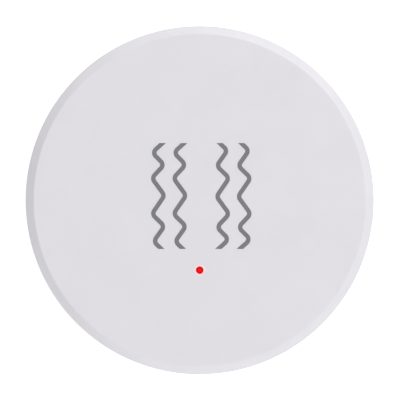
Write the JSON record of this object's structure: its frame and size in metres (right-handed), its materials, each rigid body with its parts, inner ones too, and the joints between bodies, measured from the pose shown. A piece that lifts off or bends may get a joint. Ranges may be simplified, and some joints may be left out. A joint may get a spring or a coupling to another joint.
{
  "type": "vibration sensor tag",
  "caption": "Round white stick-on vibration sensor tag with wave marks, a red indicator and a twist-off cap over a coin cell and circuit board.",
  "frame": {"origin": "centre of the adhesive pad's underside, at the bottom centre of the tag", "axes": "+Z out of the printed face, +Y towards the top of the pictogram, +X to its right"},
  "size_m": [0.04, 0.04, 0.01],
  "materials": {
    "white_shell": "fine satin moulding, warm white with a touch of lavender",
    "mark_ink": "matt grey print",
    "indicator_red": "clear tip lit red",
    "mounting_foam": "dense grey foam tape",
    "seal_silicone": "soft translucent grey silicone",
    "cushion_foam": "open black foam",
    "board_laminate": "green solder mask with tracks under it",
    "black_nylon": "moulded black nylon",
    "spring_metal": "nickel plated spring strip",
    "cell_steel": "brushed nickel plated steel",
    "cell_sealing": "smooth grey sealing ring",
    "screw_steel": "zinc plated steel",
    "lamp_body": "white lamp package",
    "lamp_window": "clear window, red when lit",
    "button_plastic": "pale moulded plunger",
    "chip_mould": "black moulding compound",
    "crystal_lid": "plated lid on a ceramic tray",
    "antenna_ceramic": "white ceramic block",
    "capacitor_yellow": "yellow moulded case",
    "capacitor_tan": "tan ceramic with tinned ends",
    "resistor_black": "black film with tinned ends",
    "inductor_grey": "grey ceramic with tinned ends",
    "gold_plating": "gold plated copper"
  },
  "bodies": {
    "base": {"base": "white_shell", "adhesive_pad": "mounting_foam", "circuit_board": "board_laminate", "board_screws": "screw_steel", "cell_holder": "black_nylon", "positive_contact": "spring_metal", "negative_contact": "spring_metal", "led_package": "lamp_body", "led_window": "lamp_window", "switch_body": "black_nylon", "switch_cover": "spring_metal", "switch_terminals": "spring_metal", "switch_dome": "spring_metal", "radio_chip": "chip_mould", "accelerometer": "chip_mould", "radio_crystal": "crystal_lid", "clock_crystal": "crystal_lid", "chip_antenna": "antenna_ceramic", "bulk_capacitor": "capacitor_yellow", "ceramic_capacitors": "capacitor_tan", "chip_resistors": "resistor_black", "chip_inductors": "inductor_grey", "test_pads": "gold_plating"},
    "gasket": {"sealing_gasket": "seal_silicone"},
    "cap": {"top_cover": "white_shell", "outer_left_wave": "mark_ink", "inner_left_wave": "mark_ink", "inner_right_wave": "mark_ink", "outer_right_wave": "mark_ink", "light_pipe": "indicator_red", "cell_cushion": "cushion_foam"},
    "cell": {"cell_can": "cell_steel", "cell_lid": "cell_steel", "cell_seal": "cell_sealing"},
    "button": {"switch_plunger": "button_plastic"}
  },
  "joints": [
    {"name": "cap_lift", "type": "slide", "parent": "base", "child": "gasket", "axis": [0, 0, 1], "range_m": [0, 0.024]},
    {"name": "cap_twist", "type": "hinge", "parent": "gasket", "child": "cap", "pos_m": [0, 0, 0.0086], "axis": [0, 0, 1], "range_deg": [0, 360]},
    {"name": "cell_lift", "type": "slide", "parent": "base", "child": "cell", "axis": [0, 0, 1], "range_m": [0, 0.008]},
    {"name": "button_press", "type": "slide", "parent": "base", "child": "button", "axis": [0, 0, -1], "range_m": [0, 0.00025], "stiffness_N_per_m": 200}
  ],
  "couplings": [
    {"joint": "cap_lift", "follows": "cap_twist", "m_per_rad": 0.0038197},
    {"joint": "cell_lift", "follows": "cap_twist", "m_per_rad": 0.0012732}
  ]
}
